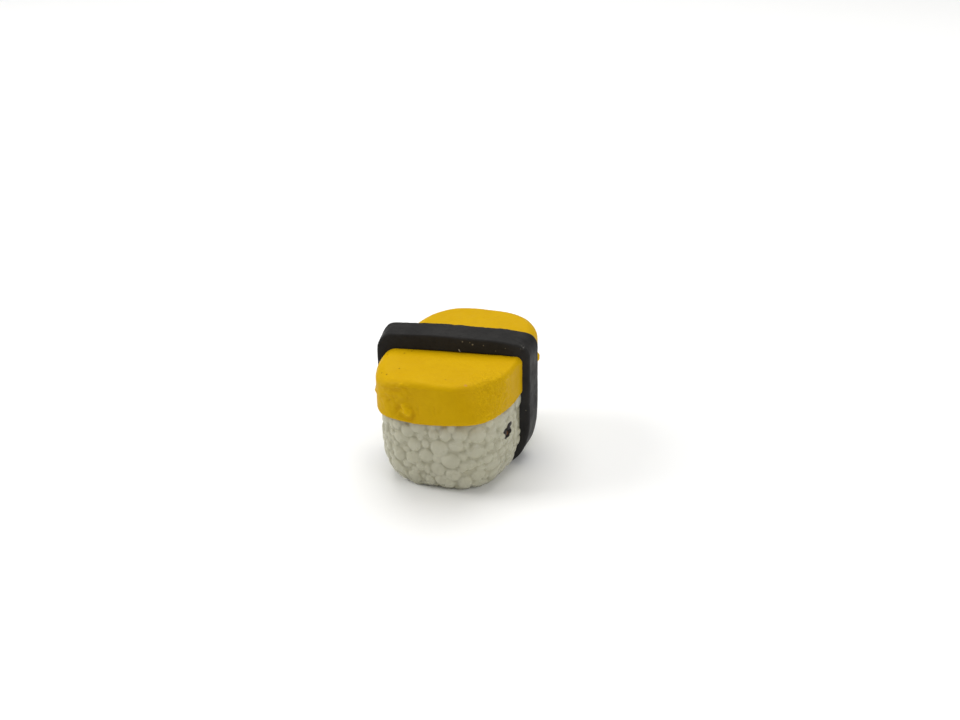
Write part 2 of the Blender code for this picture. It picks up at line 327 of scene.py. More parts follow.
class Graph:
    """Adds nodes to a tree and links them."""

    def __init__(self, tree: bpy.types.NodeTree) -> None:
        """Works on that tree."""
        self.tree = tree

    def add(self, kind: str, inputs: dict | None = None, **settings: object) -> bpy.types.Node:
        """Adds one node.

        Args:
            kind: the node's type name.
            inputs: for input names or numbers, a value or the socket that feeds it.
            settings: the node's own settings.

        Returns:
            The node.
        """
        node = self.tree.nodes.new(kind)
        for name, value in settings.items():
            setattr(node, name, value)
        for key, value in (inputs or {}).items():
            if isinstance(value, Socket):
                self.tree.links.new(value, node.inputs[key])
            else:
                node.inputs[key].default_value = value
        return node

    def math(self, operation: str, *values: object) -> Socket:
        """The result of a Math node."""
        return self.add("ShaderNodeMath", dict(enumerate(values)), operation=operation).outputs[0]

    def times(self, first: object, second: object) -> Socket:
        """The product of two values."""
        return self.math("MULTIPLY", first, second)

    def noise(self, where: object, size: float, detail: float = 2.0, roughness: float = 0.5) -> Socket:
        """Noise with features of that size, in metres."""
        inputs = {"Vector": where, "Scale": 1 / size, "Detail": detail, "Roughness": roughness}
        return self.add("ShaderNodeTexNoise", inputs).outputs["Fac"]

    def ramp(self, value: object, low: float, high: float, to_low: float = 0.0, to_high: float = 1.0) -> Socket:
        """A value carried smoothly from one range to another."""
        inputs = {"Value": value, "From Min": low, "From Max": high, "To Min": to_low, "To Max": to_high}
        return self.add("ShaderNodeMapRange", inputs, interpolation_type="SMOOTHSTEP").outputs[0]

    def patches(self, where: object, size: float, window: Pair, detail: float = 3.0, **more: float) -> Socket:
        """Patches of about that size, where the noise passes from the window's low end to its high one."""
        return self.ramp(self.noise(where, size, detail, **more), *window)

    def vector(self, operation: str, *values: object, **more: object) -> Socket:
        """The vector that a Vector Math node gives."""
        inputs = {**dict(enumerate(values)), **more}
        return self.add("ShaderNodeVectorMath", inputs, operation=operation).outputs[0]

    def mix(self, share: object, first: object, second: object) -> Socket:
        """A blend of two colours."""
        return self.add("ShaderNodeMix", {0: share, 6: first, 7: second}, data_type="RGBA").outputs[2]

    def shaken(self, where: object, wander: Pair) -> Socket:
        """Coordinates pushed about by noise. wander is the size of its waves and about how far they reach."""
        size, reach = wander
        push = self.add("ShaderNodeTexNoise", {"Vector": where, "Scale": 1 / size, "Detail": 2.0}).outputs["Color"]
        middle = self.vector("SUBTRACT", push, (0.5, 0.5, 0.5))
        return self.vector("MULTIPLY_ADD", middle, (reach * 4, reach * 4, reach * 4), where)

    def scattered(self, where: object, spacing: float, size: Pair, channel: int) -> tuple[Socket, Socket]:
        """Small dots, one in each cell.

        Args:
            where: coordinates.
            spacing: width of a cell.
            size: where a dot ends and where the ground starts, as shares of a cell.
            channel: which of the cell's random numbers to give.

        Returns:
            How much of a place a dot covers, and the random number of its cell.
        """
        cells = self.add("ShaderNodeTexVoronoi", {"Vector": where, "Scale": 1 / spacing}).outputs
        own = self.add("ShaderNodeSeparateColor", {0: cells["Color"]}).outputs[channel]
        return self.ramp(cells["Distance"], *size, 1.0, 0.0), own

    def spots(self, where: object, marks: tuple[Mark, ...], edge: float = 0.35) -> Socket:
        """How much of a place is covered by any of the marks, 0 to 1."""
        cover: object = 0.0
        for mark in marks:
            seen = self.vector("MULTIPLY", where, mark.squash)
            middle = tuple(part * squash for part, squash in zip(mark.place, mark.squash))
            away = self.add("ShaderNodeVectorMath", {0: seen, 1: middle}, operation="DISTANCE")
            size = mark.size
            near = self.ramp(away.outputs["Value"], size * (1 - edge), size * (1 + edge), mark.strength, 0.0)
            cover = self.math("MAXIMUM", cover, near)
        return cover


def rgba(colour: Triple) -> tuple[float, float, float, float]:
    """A colour with full cover."""
    return (*colour, 1.0)


# Finishes


def new_material(name: str, colour: Triple, inputs: dict[str, object]) -> tuple[bpy.types.Material, bpy.types.Node]:
    """A material of that plain colour, and its shader with those inputs set."""
    material = bpy.data.materials.new(name)
    material.use_nodes = True
    material.diffuse_color = rgba(colour)
    shader = material.node_tree.nodes["Principled BSDF"]
    for key, value in inputs.items():
        shader.inputs[key].default_value = value
    return material, shader


@dataclass(frozen=True)
class Finish:
    """What every painted finish has: its colours, gloss and relief."""

    name: str
    colour: Triple
    pale: Triple
    deep: Triple
    gloss: Pair
    patch: float
    grain: float
    relief: float
    specular: float = 0.5
    mottle: float = 0.5
    patchy: Pair = (0.32, 0.68)
    thinned: Pair = (0.45, 0.75)
    shiny: Pair = (0.3, 0.7)

    def start(self) -> tuple[bpy.types.Material, Graph, bpy.types.Node, Socket]:
        """An empty material with its shader and its Object coordinates."""
        material, shader = new_material(self.name, self.colour, {"Specular IOR Level": self.specular})
        graph = Graph(material.node_tree)
        where = graph.add("ShaderNodeTexCoord").outputs["Object"]
        return material, graph, shader, where

    def coat(self, graph: Graph, where: Socket) -> Socket:
        """The paint's uneven colour."""
        patches = graph.patches(where, self.patch, self.patchy, roughness=0.55)
        thin = graph.patches(where, self.patch / 5, self.thinned, 2.0)
        base = graph.mix(patches, rgba(self.colour), rgba(self.pale))
        return graph.mix(graph.times(thin, self.mottle), base, rgba(self.deep))

    def close(self, graph: Graph, shader: bpy.types.Node, where: object, colour: object, height: object) -> None:
        """Joins the colour, an uneven roughness and the fine relief to the shader."""
        shine = graph.ramp(graph.noise(where, self.patch / 3, 3.0), *self.shiny, *self.gloss)
        bump = graph.add("ShaderNodeBump", {"Strength": 1.0, "Distance": self.relief, "Height": height}).outputs[0]
        for name, socket in (("Base Color", colour), ("Roughness", shine), ("Normal", bump)):
            graph.tree.links.new(socket, shader.inputs[name])


@dataclass(frozen=True)
class EggPaint(Finish):
    """Warm yellow matt paint, with brush marks, pits, a chip, a stippled corner and a black smear, painted shade in
    the casting's hollows and a painted highlight on its raised parts.
    """

    pit_colour: Triple = (0.17, 0.070, 0.002)
    # Painted shade for the casting's hollows and grooves, and a painted highlight for its raised parts and the
    # stipple.
    painted_shade_colour: Triple = (0.400, 0.190, 0.0004)
    painted_highlight_colour: Triple = (0.680, 0.420, 0.0030)
    chip_colour: Triple = (0.52, 0.22, 0.10)
    pits: tuple[Mark, ...] = (
        Mark((-5.86, -5.87, 17.25), 0.13),
        Mark((-5.16, -4.95, 17.23), 0.10),
        Mark((-4.96, -9.89, 16.89), 0.10),
        Mark((-6.18, -11.37, 16.52), 0.11),
        Mark((-7.10, -10.85, 16.39), 0.09),
        Mark((2.14, -11.36, 17.01), 0.09),
    )
    chips: tuple[Mark, ...] = (Mark((5.10, -11.85, 16.95), 0.26, 0.5, BALL),)
    smear_colour: Triple = (0.022, 0.020, 0.015)
    smears: tuple[Mark, ...] = (
        Mark((9.20, 3.40, 13.20), 1.00, 0.9, SIDE),
        Mark((9.20, 4.60, 13.80), 0.60, 0.9, SIDE),
        Mark((9.20, 6.20, 14.05), 0.40, 0.9, SIDE),
        Mark((9.20, 5.40, 13.95), 0.45, 0.9, SIDE),
        Mark((9.20, 4.60, 12.40), 0.60, 0.9, SIDE),
        Mark((9.20, 5.80, 12.05), 0.40, 0.9, SIDE),
    )
    stipple_at: Mark = Mark((8.6, -9.6, 14.4), 3.3)
    stipple_edge: float = 0.6
    dab: float = 0.36 * MM
    dabbed: Pair = (0.40, 0.66)
    # Share of pale colour in the stipple dabs: the stipple's own pale flecks, and a painted highlight on the corner
    # facet.
    dab_and_highlight_cover: float = 0.45
    dab_rise: float = 1.6
    wander: Pair = (0.25 * MM, 0.04 * MM)
    pit_spacing: float = 1.9 * MM
    pit_dot: Pair = (0.025, 0.055)
    pitted: Pair = (0.60, 0.66)
    pit_cover: float = 0.6
    pit_depth: float = 2.5
    # Where the stored relief turns into painted shade (low) and a painted highlight (high).
    painted_shade_cover: tuple[float, ...] = (0.15, 0.48, 0.55, 0.0)
    painted_highlight_cover: tuple[float, ...] = (0.52, 0.85, 0.0, 0.55)
    smear_wander: Pair = (0.8 * MM, 0.40 * MM)
    smear_edge: float = 0.25
    stroke: Triple = (1.0, 0.3, 1.0)
    stroke_size: float = 1.6
    stroke_rise: float = 0.7

    def make(self) -> bpy.types.Material:
        """The material."""
        material, graph, shader, where = self.start()
        colour = self.coat(graph, where)
        shaken = graph.shaken(where, self.wander)
        near, rare = graph.scattered(shaken, self.pit_spacing, self.pit_dot, 0)
        pits = graph.times(near, graph.ramp(rare, *self.pitted))
        pits = graph.math("MAXIMUM", pits, graph.spots(shaken, self.pits))
        chips = graph.spots(shaken, self.chips)
        stipple = graph.spots(where, (self.stipple_at,), self.stipple_edge)
        relief = graph.add("ShaderNodeAttribute", attribute_name="egg_relief").outputs["Fac"]
        dabs = graph.times(stipple, graph.patches(where, self.dab, self.dabbed, roughness=0.6))
        smears = graph.spots(graph.shaken(where, self.smear_wander), self.smears, self.smear_edge)
        for cover, paint in (
            # Painted shade in the hollows, then a painted highlight on the raised parts.
            (graph.ramp(relief, *self.painted_shade_cover), self.painted_shade_colour),
            (graph.ramp(relief, *self.painted_highlight_cover), self.painted_highlight_colour),
            (graph.times(dabs, self.dab_and_highlight_cover), self.painted_highlight_colour),
            (graph.times(pits, self.pit_cover), self.pit_colour),
            (chips, self.chip_colour),
            (smears, self.smear_colour),
        ):
            colour = graph.mix(cover, colour, rgba(paint))
        strokes = graph.add("ShaderNodeMapping", {"Vector": where, "Scale": self.stroke}).outputs[0]
        height = graph.noise(where, self.grain, 4.0, roughness=0.6)
        brush = graph.noise(strokes, self.grain * self.stroke_size)
        for rise, share in ((brush, self.stroke_rise), (pits, -self.pit_depth), (dabs, self.dab_rise)):
            height = graph.math("ADD", height, graph.times(rise, share))
        self.close(graph, shader, where, colour, height)
        return material


@dataclass(frozen=True)
class RicePaint(Finish):
    """Greyish white satin paint over moulded grains, with painted shade in the creases between them and one dark
    fleck.
    """

    fleck_colour: Triple = (0.010, 0.007, 0.005)
    fleck_core: Triple = (0.13, 0.055, 0.022)
    fleck: tuple[Mark, ...] = (
        Mark((8.8, -5.70, 8.50), 0.44, 1.0, (0.15, 0.75, 1.0)),
        Mark((8.7, -5.95, 8.05), 0.36, 1.0, (0.15, 0.75, 1.0)),
        Mark((8.7, -6.15, 7.60), 0.62, 1.0, (0.15, 0.65, 1.0)),
        Mark((8.7, -6.30, 7.15), 0.44, 1.0, (0.15, 0.65, 1.0)),
        Mark((8.7, -6.95, 7.95), 0.24, 1.0, (0.15, 0.65, 1.0)),
    )
    core: tuple[Mark, ...] = (Mark((8.7, -6.25, 7.40), 0.26, 0.9, (0.15, 0.65, 1.0)),)
    fleck_edge: float = 0.12
    core_edge: float = 0.3
    fleck_from: Pair = (4 * MM, 5 * MM)
    fleck_dull: float = 0.8
    wander: Pair = (0.45 * MM, 0.08 * MM)
    crease_shade_window: Pair = (0.05, 0.55)
    crease_shade_cover: float = 0.40

    def make(self) -> bpy.types.Material:
        """The material."""
        material, graph, shader, where = self.start()
        colour = self.coat(graph, where)
        rise = graph.add("ShaderNodeAttribute", attribute_name="grain_rise").outputs["Fac"]
        # Painted shade: the low creases between the grains are mixed towards the deep colour.
        crease_shade = graph.ramp(rise, *self.crease_shade_window, 1.0, 0.0)
        colour = graph.mix(graph.times(crease_shade, self.crease_shade_cover), colour, rgba(self.deep))
        shaken = graph.shaken(where, self.wander)
        right = graph.ramp(graph.add("ShaderNodeSeparateXYZ", {0: where}).outputs[0], *self.fleck_from)
        fleck = graph.times(graph.spots(shaken, self.fleck, self.fleck_edge), right)
        core = graph.times(graph.spots(shaken, self.core, self.core_edge), right)
        colour = graph.mix(fleck, colour, rgba(self.fleck_colour))
        colour = graph.mix(core, colour, rgba(self.fleck_core))
        shine = graph.math("SUBTRACT", self.specular, graph.times(fleck, self.fleck_dull * self.specular))
        graph.tree.links.new(shine, shader.inputs["Specular IOR Level"])
        self.close(graph, shader, where, colour, graph.noise(where, self.grain, 3.0, roughness=0.55))
        return material


@dataclass(frozen=True)
class SeaweedPaint(Finish):
    """Charcoal black satin paint, with dust on it, and edges and a corner made lighter, partly as wear and partly as
    a painted highlight.
    """

    dust_colour: Triple = (0.20, 0.18, 0.13)
    worn_and_highlight_colour: Triple = (0.16, 0.155, 0.14)
    dust: tuple[Mark, ...] = (
        Mark((1.50, -3.02, 18.67), 0.09, 0.8, FRONT),
        Mark((2.83, -2.74, 18.27), 0.10, 1.0, FRONT),
        Mark((2.49, -2.82, 18.56), 0.07, 0.7, FRONT),
        Mark((4.28, -2.44, 18.21), 0.07, 0.7, FRONT),
        Mark((5.90, -2.09, 17.42), 0.07, 0.6, FRONT),
        Mark((7.20, -1.82, 17.87), 0.07, 0.6, FRONT),
        Mark((8.23, -1.29, 16.70), 0.08, 0.6, FRONT),
        Mark((10.38, 1.90, 9.60), 0.10, 0.7, SIDE),
        Mark((10.85, -0.94, 9.42), 0.09, 0.6, SIDE),
        Mark((9.84, -1.26, 8.56), 0.08, 0.6, FRONT),
        Mark((10.53, 1.13, 7.60), 0.08, 0.6, SIDE),
    )
    worn_and_highlight: tuple[Mark, ...] = (Mark((9.45, -1.15, 18.25), 0.50, 0.9, BALL),)
    wander: Pair = (0.3 * MM, 0.05 * MM)
    dust_spacing: float = 1.1 * MM
    dust_dot: Pair = (0.035, 0.07)
    dusty: tuple[float, ...] = (0.72, 0.95, 0.0, 0.5)
    dust_edge: float = 0.5
    dust_rise: float = 0.8
    sharp: Pair = (0.53, 0.60)
    wear_and_highlight_patch: float = 0.5 * MM
    wear_and_highlight_window: Pair = (0.52, 0.70)
    wear_and_highlight_cover: float = 0.18
    worn_and_highlight_edge: float = 0.6

    def make(self) -> bpy.types.Material:
        """The material."""
        material, graph, shader, where = self.start()
        colour = self.coat(graph, where)
        shaken = graph.shaken(where, self.wander)
        near, rare = graph.scattered(shaken, self.dust_spacing, self.dust_dot, 1)
        dust = graph.times(near, graph.ramp(rare, *self.dusty))
        dust = graph.math("MAXIMUM", dust, graph.spots(shaken, self.dust, self.dust_edge))
        # Lighter sharp edges and top right corner: partly wear, partly a painted highlight.
        edge = graph.ramp(graph.add("ShaderNodeNewGeometry").outputs["Pointiness"], *self.sharp)
        patchy = graph.patches(where, self.wear_and_highlight_patch, self.wear_and_highlight_window, roughness=0.7)
        worn_and_highlight = graph.times(graph.times(edge, patchy), self.wear_and_highlight_cover)
        spots = graph.spots(shaken, self.worn_and_highlight, self.worn_and_highlight_edge)
        worn_and_highlight = graph.math("MAXIMUM", worn_and_highlight, graph.times(spots, patchy))
        colour = graph.mix(worn_and_highlight, colour, rgba(self.worn_and_highlight_colour))
        colour = graph.mix(dust, colour, rgba(self.dust_colour))
        fine = graph.noise(where, self.grain, 4.0, roughness=0.6)
        self.close(graph, shader, where, colour, graph.math("ADD", fine, graph.times(dust, self.dust_rise)))
        return material


@dataclass(frozen=True)
class LintFelt:
    """A dull greyish white fibre, uneven in tone."""

    colour: Triple = (0.52, 0.51, 0.47)
    shade: float = 0.6
    patch: float = 0.08 * MM
    patchy: Pair = (0.35, 0.65)
    roughness: float = 0.85

    def make(self) -> bpy.types.Material:
        """The material."""
        material, shader = new_material("lint", self.colour, {"Roughness": self.roughness})
        graph = Graph(material.node_tree)
        where = graph.add("ShaderNodeTexCoord").outputs["Object"]
        patches = graph.patches(where, self.patch, self.patchy, 2.0)
        dark = rgba(tuple(self.shade * part for part in self.colour))
        colour = graph.mix(patches, rgba(self.colour), dark)
        graph.tree.links.new(colour, shader.inputs["Base Color"])
        return material


EGG_PAINT = EggPaint(
    name="egg_paint",
    colour=(0.535, 0.314, 0.0006),
    pale=(0.555, 0.332, 0.0010),
    deep=(0.480, 0.264, 0.0004),
    gloss=(0.46, 0.60),
    patch=5 * MM,
    grain=0.40 * MM,
    relief=0.034 * MM,
    specular=0.05,
    mottle=0.22,
)
RICE_PAINT = RicePaint(
    name="rice_paint",
    colour=(0.395, 0.381, 0.276),
    pale=(0.440, 0.425, 0.320),
    deep=(0.265, 0.245, 0.155),
    gloss=(0.24, 0.38),
    patch=4 * MM,
    grain=0.35 * MM,
    relief=0.012 * MM,
    specular=0.5,
    mottle=0.12,
)
SEAWEED_PAINT = SeaweedPaint(
    name="seaweed_paint",
    colour=(0.0215, 0.0207, 0.0200),
    pale=(0.0280, 0.0268, 0.0256),
    deep=(0.0155, 0.0148, 0.0142),
    gloss=(0.42, 0.55),
    patch=4 * MM,
    grain=0.30 * MM,
    relief=0.025 * MM,
    specular=0.04,
)


# Pieces


@dataclass(frozen=True)
class Uneven:
    """Seeded unevenness of a cast and painted surface."""

    rise: float
    size: float
    seed: int
    layers: int = 2

    def height(self, points: np.ndarray) -> np.ndarray:
        """How far it stands out at each point."""
        return self.rise * cloud(points, self.size, self.seed, self.layers)


class Swelling:
    """A soft lump in the casting, with a faint hollow round it."""

    moat: float = 0.35

    def __init__(self, place: Triple, size: float, rise: float) -> None:
        """Takes the middle, the reach and the rise in millimetres. A rise below 0 is a hollow."""
        self.place = np.array(place) * MM
        self.size, self.rise = size * MM, rise * MM

    def height(self, points: np.ndarray) -> np.ndarray:
        """How far it stands out at each point."""
        away = np.linalg.norm((points - self.place) / self.size, axis=1) ** 2
        return self.rise * ((1 + self.moat) * np.exp(-away) - self.moat * np.exp(-away / 4))


class Fold:
    """A short ridge or groove in the casting, between two places."""

    def __init__(self, start: Triple, end: Triple, width: float, rise: float) -> None:
        """Takes two ends, a half width and a rise in millimetres. A rise below 0 is a groove."""
        self.start, self.end = np.array(start) * MM, np.array(end) * MM
        self.width, self.rise = width * MM, rise * MM

    def away(self, points: np.ndarray) -> np.ndarray:
        """The distance of each point from the line between the two ends."""
        line = self.end - self.start
        share = np.clip(((points - self.start) @ line) / (line @ line), 0, 1)
        return np.linalg.norm(points - self.start - share[:, None] * line, axis=1)


@dataclass
class EggSlab:
    """The thick egg slab, with a small lump, folds, a bead and a stippled corner in its casting."""

    fall: float = -0.010
    top_slope: float = -0.012
    twist: float = -0.028
    droop: float = 0.9 * MM
    droop_at: Pair = (-7.2 * MM, -12.6 * MM)
    droop_reach: float = 2.6 * MM
    top_round: float = 1.9 * MM
    front_at: float = math.radians(-75)
    right_at: float = math.radians(-5)
    sharp_front: float = 1.15 * MM
    sharp_right: float = 0.80 * MM
    blunt_left: float = 0.40 * MM
    blunt_corner: float = 0.45 * MM
    lean: float = 1.10 * MM
    lean_at: float = math.radians(-59)
    lean_spread: float = math.radians(15)
    foot_round: float = 0.6 * MM
    foot_line: tuple[Pair, ...] = (
        (-9.5, -0.32), (-5.4, -0.14), (-4.0, -0.27), (-2.9, -0.37), (-1.8, -0.43), (-0.6, -0.30), (0.5, -0.21),
        (1.6, -0.06), (2.7, 0.03), (3.8, 0.14), (6.0, 0.18), (8.0, 0.18), (9.5, 0.08),
    )
    wandering: Pair = (-9 * MM, -BAND.half_width)
    low_right: float = 0.42 * MM
    low_along: Pair = (-9.5 * MM, -3.5 * MM)
    low_across: Pair = (6 * MM, 8 * MM)
    turns: int = 470
    stretches: tuple[int, int, int, int, int] = (74, 34, 46, 12, 24)
    rim_rows: float = 0.8
    lean_fade: float = 1.3
    sunk: float = 0.06 * MM
    flat_right: float = 0.09 * MM
    rightward: Pair = (0.3, 0.9)
    broad: Uneven = Uneven(0.045 * MM, 4.5 * MM, 3)
    fine: Uneven = Uneven(0.012 * MM, 0.9 * MM, 5)
    crumple: Uneven = Uneven(0.080 * MM, 0.75 * MM, 6)
    stipple: Uneven = Uneven(0.055 * MM, 0.55 * MM, 8)
    pushes: tuple[Uneven, ...] = tuple(Uneven(0.11 * MM, 0.45 * MM, seed) for seed in (11, 12, 13))
    crumpled_at: Mark = Mark((-4.8, -13.3, 14.0), 3.2)
    crumple_fade: Pair = (0.6, 1.2)
    stipple_fade: Pair = (0.7, 1.3)
    painted_shade_depth: float = 0.40 * MM
    hollows: tuple[Swelling, ...] = (
        Swelling((-2.70, -13.70, 12.80), 2.80, -0.30),
        Swelling((9.40, 4.60, 14.00), 1.10, 0.14),
    )
    lumps: tuple[Swelling, ...] = (
        Swelling((-2.65, -13.60, 12.55), 0.62, 0.26),
        Swelling((-2.30, -13.60, 11.60), 0.80, -0.08),
        Swelling((-8.35, -10.50, 13.60), 0.45, 0.20),
        Swelling((-3.60, -13.50, 14.60), 0.70, 0.05),
        Swelling((6.10, -13.00, 15.00), 0.80, 0.05),
    )
    folds: tuple[Fold, ...] = (
        Fold((-3.10, -13.60, 13.45), (-2.80, -13.60, 12.60), 0.36, 0.30),
        Fold((-3.55, -13.60, 12.76), (-3.86, -13.50, 12.17), 0.17, 0.17),
        Fold((-3.86, -13.50, 12.17), (-4.08, -13.40, 11.39), 0.17, 0.13),
        Fold((-1.95, -13.60, 13.20), (-1.75, -13.60, 12.20), 0.34, -0.10),
        Fold((-3.87, -13.48, 16.02), (-3.20, -13.39, 16.48), 0.16, 0.12),
        Fold((-3.20, -13.39, 16.48), (-2.30, -13.56, 16.40), 0.16, 0.10),
        Fold((-3.00, -13.50, 16.12), (-2.60, -13.60, 16.08), 0.20, -0.12),
        Fold((-5.42, -13.13, 13.64), (-4.60, -13.40, 14.25), 0.16, -0.09),
        Fold((-4.55, -13.45, 13.93), (-4.05, -13.54, 14.63), 0.16, -0.08),
        Fold((-2.25, -13.76, 15.60), (-1.70, -13.76, 15.20), 0.16, -0.07),
        Fold((-1.06, -13.78, 13.44), (-1.03, -13.78, 12.56), 0.17, -0.07),
        Fold((1.34, -13.79, 14.10), (1.37, -13.79, 12.93), 0.16, -0.06),
        Fold((2.30, -13.77, 13.94), (2.27, -13.77, 13.21), 0.15, -0.05),
        Fold((4.30, -13.60, 15.60), (5.30, -13.40, 14.90), 0.18, -0.05),
        Fold((9.15, 6.80, 13.25), (9.15, 6.80, 12.75), 0.36, 0.40),
    )
    finish: EggPaint = EGG_PAINT

    def rings(self) -> np.ndarray:
        """The slab's smooth surface, ring by ring from the top's middle to the underside's."""
        turn = np.linspace(-math.pi, math.pi, self.turns, endpoint=False)
        front = np.clip(np.cos(turn - self.front_at), 0, 1) ** 2
        right = np.clip(np.cos(turn - self.right_at), 0, 1) ** 3
        left = np.clip(-np.cos(turn), 0, 1) ** 2
        corner = np.exp(-(((turn - self.lean_at) / self.lean_spread) ** 2))
        rounding = self.top_round - self.sharp_front * front - self.sharp_right * right
        rounding += self.blunt_left * left + self.blunt_corner * corner
        lean = self.lean * corner
        cap, edge, wall, foot, under = self.stretches
        rows = []
        for share in (np.arange(1, cap + 1) / cap) ** self.rim_rows:
            rows.append(np.c_[PLAN.outline(turn, rounding + lean) * share, np.full_like(turn, PLAN.top)])
        for angle in math.pi / 2 * np.arange(1, edge + 1) / edge:
            height = PLAN.top - rounding * (1 - math.cos(angle))
            rows.append(np.c_[PLAN.outline(turn, lean + rounding * (1 - math.sin(angle))), height])
        rim = PLAN.outline(turn, np.zeros_like(turn))
        low = PLAN.foot(rim[:, 0]) + self.foot_round
        for share in np.arange(1, wall + 1) / wall:
            plan = PLAN.outline(turn, lean * (1 - share) ** self.lean_fade)
            rows.append(np.c_[plan, PLAN.top - rounding + (low - PLAN.top + rounding) * share])
        for angle in math.pi / 2 * np.arange(1, foot + 1) / foot:
            plan = PLAN.outline(turn, np.full_like(turn, self.foot_round * (1 - math.cos(angle))))
            height = PLAN.foot(plan[:, 0]) + self.foot_round * (1 - math.sin(angle))
            rows.append(np.c_[plan, height])
        plan = PLAN.outline(turn, np.full_like(turn, self.foot_round))
        for share in 1 - np.arange(1, under) / under:
            rows.append(np.c_[plan * share, PLAN.foot(plan[:, 0] * share)])
        top, bottom = np.array([[0, 0, PLAN.top]]), np.array([[0, 0, PLAN.foot(0.0)]])
        points = np.concatenate([top, *rows, bottom])
        rise = (points[:, 2] - PLAN.foot(points[:, 0])) / PLAN.thickness
        points[:, 2] += rise * self.top_shift(points) + (1 - rise) * self.foot_shift(points)
        return points

    def foot_shift(self, points: np.ndarray) -> np.ndarray:
        """How far the front's lower edge wanders up and down, and sags at the right next to the band."""
        x, y = points[:, 0], points[:, 1]
        front = 1 - smooth_step(BAND.across(points), *self.wandering)
        places_x, shifts = np.array(self.foot_line).T * MM
        right = smooth_step(y, *self.low_along) * smooth_step(x, *self.low_across)
        return front * np.interp(x, places_x, shifts) - self.low_right * right

    def top_shift(self, points: np.ndarray) -> np.ndarray:
        """How far the top is above or below the level of its middle."""
        x, y = points[:, 0], points[:, 1]
        shift = self.fall * y + self.top_slope * x
        front = smooth_step(-BAND.across(points), -BAND.half_width, BAND.half_width)
        from_corner = ((x - self.droop_at[0]) ** 2 + (y - self.droop_at[1]) ** 2) / (2 * self.droop_reach**2)
        return shift + self.twist * x * front - self.droop * np.exp(-from_corner)

    def swell(self, points: np.ndarray, facing: np.ndarray) -> np.ndarray:
        """How far the casting's broad unevenness stands out of the smooth surface at each point."""
        height = self.broad.height(points) - self.sunk * (1 - np.abs(facing[:, 2]))
        height -= self.flat_right * smooth_step(facing[:, 0], *self.rightward) * (points[:, 1] < 0)
        for swelling in self.hollows:
            height += swelling.height(points)
        return height

    def relief(self, points: np.ndarray) -> np.ndarray:
        """How far lumps, folds, the crumpled left and the stippled right stand out at each point."""
        height = self.fine.height(points)
        shaken = points + np.stack([push.height(points) for push in self.pushes], axis=1)
        from_left = np.linalg.norm(points - self.crumpled_at.place, axis=1) / self.crumpled_at.size
        height += (1 - smooth_step(from_left, *self.crumple_fade)) * self.crumple.height(points)
        for swelling in self.lumps:
            height += swelling.height(shaken)
        for fold in self.folds:
            height += fold.rise * np.exp(-((fold.away(shaken) / fold.width) ** 2))
        stipple = self.finish.stipple_at
        from_corner = np.linalg.norm(points - stipple.place, axis=1) / stipple.size
        return height + (1 - smooth_step(from_corner, *self.stipple_fade)) * self.stipple.height(points)

    def build(self) -> bpy.types.Object:
        """The slab, closed and in place."""
        points = self.rings()
        rings = (len(points) - 2) // self.turns
        mesh = mesh_from("egg_slab_look", points, ball_faces(self.turns, rings))
        facing = outward(mesh)
        points = places(mesh)
        relief = self.relief(points)
        # The relief is stored on the points so the paint can darken hollows as painted shade and lighten raised parts
        # as a painted highlight.
        shown = np.clip(0.5 + relief / self.painted_shade_depth, 0, 1)
        remember(mesh, "egg_relief", shown)
        height = self.swell(points, facing) + relief
        put(mesh, inside_box(points + facing * height[:, None]))
        return new_object("egg", mesh)

    def dress(self, piece: bpy.types.Object) -> None:
        """Paints the slab and puts it in the CAD slab's place."""
        piece.data.materials.append(self.finish.make())
        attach(piece, "root")
        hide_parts("egg_slab")


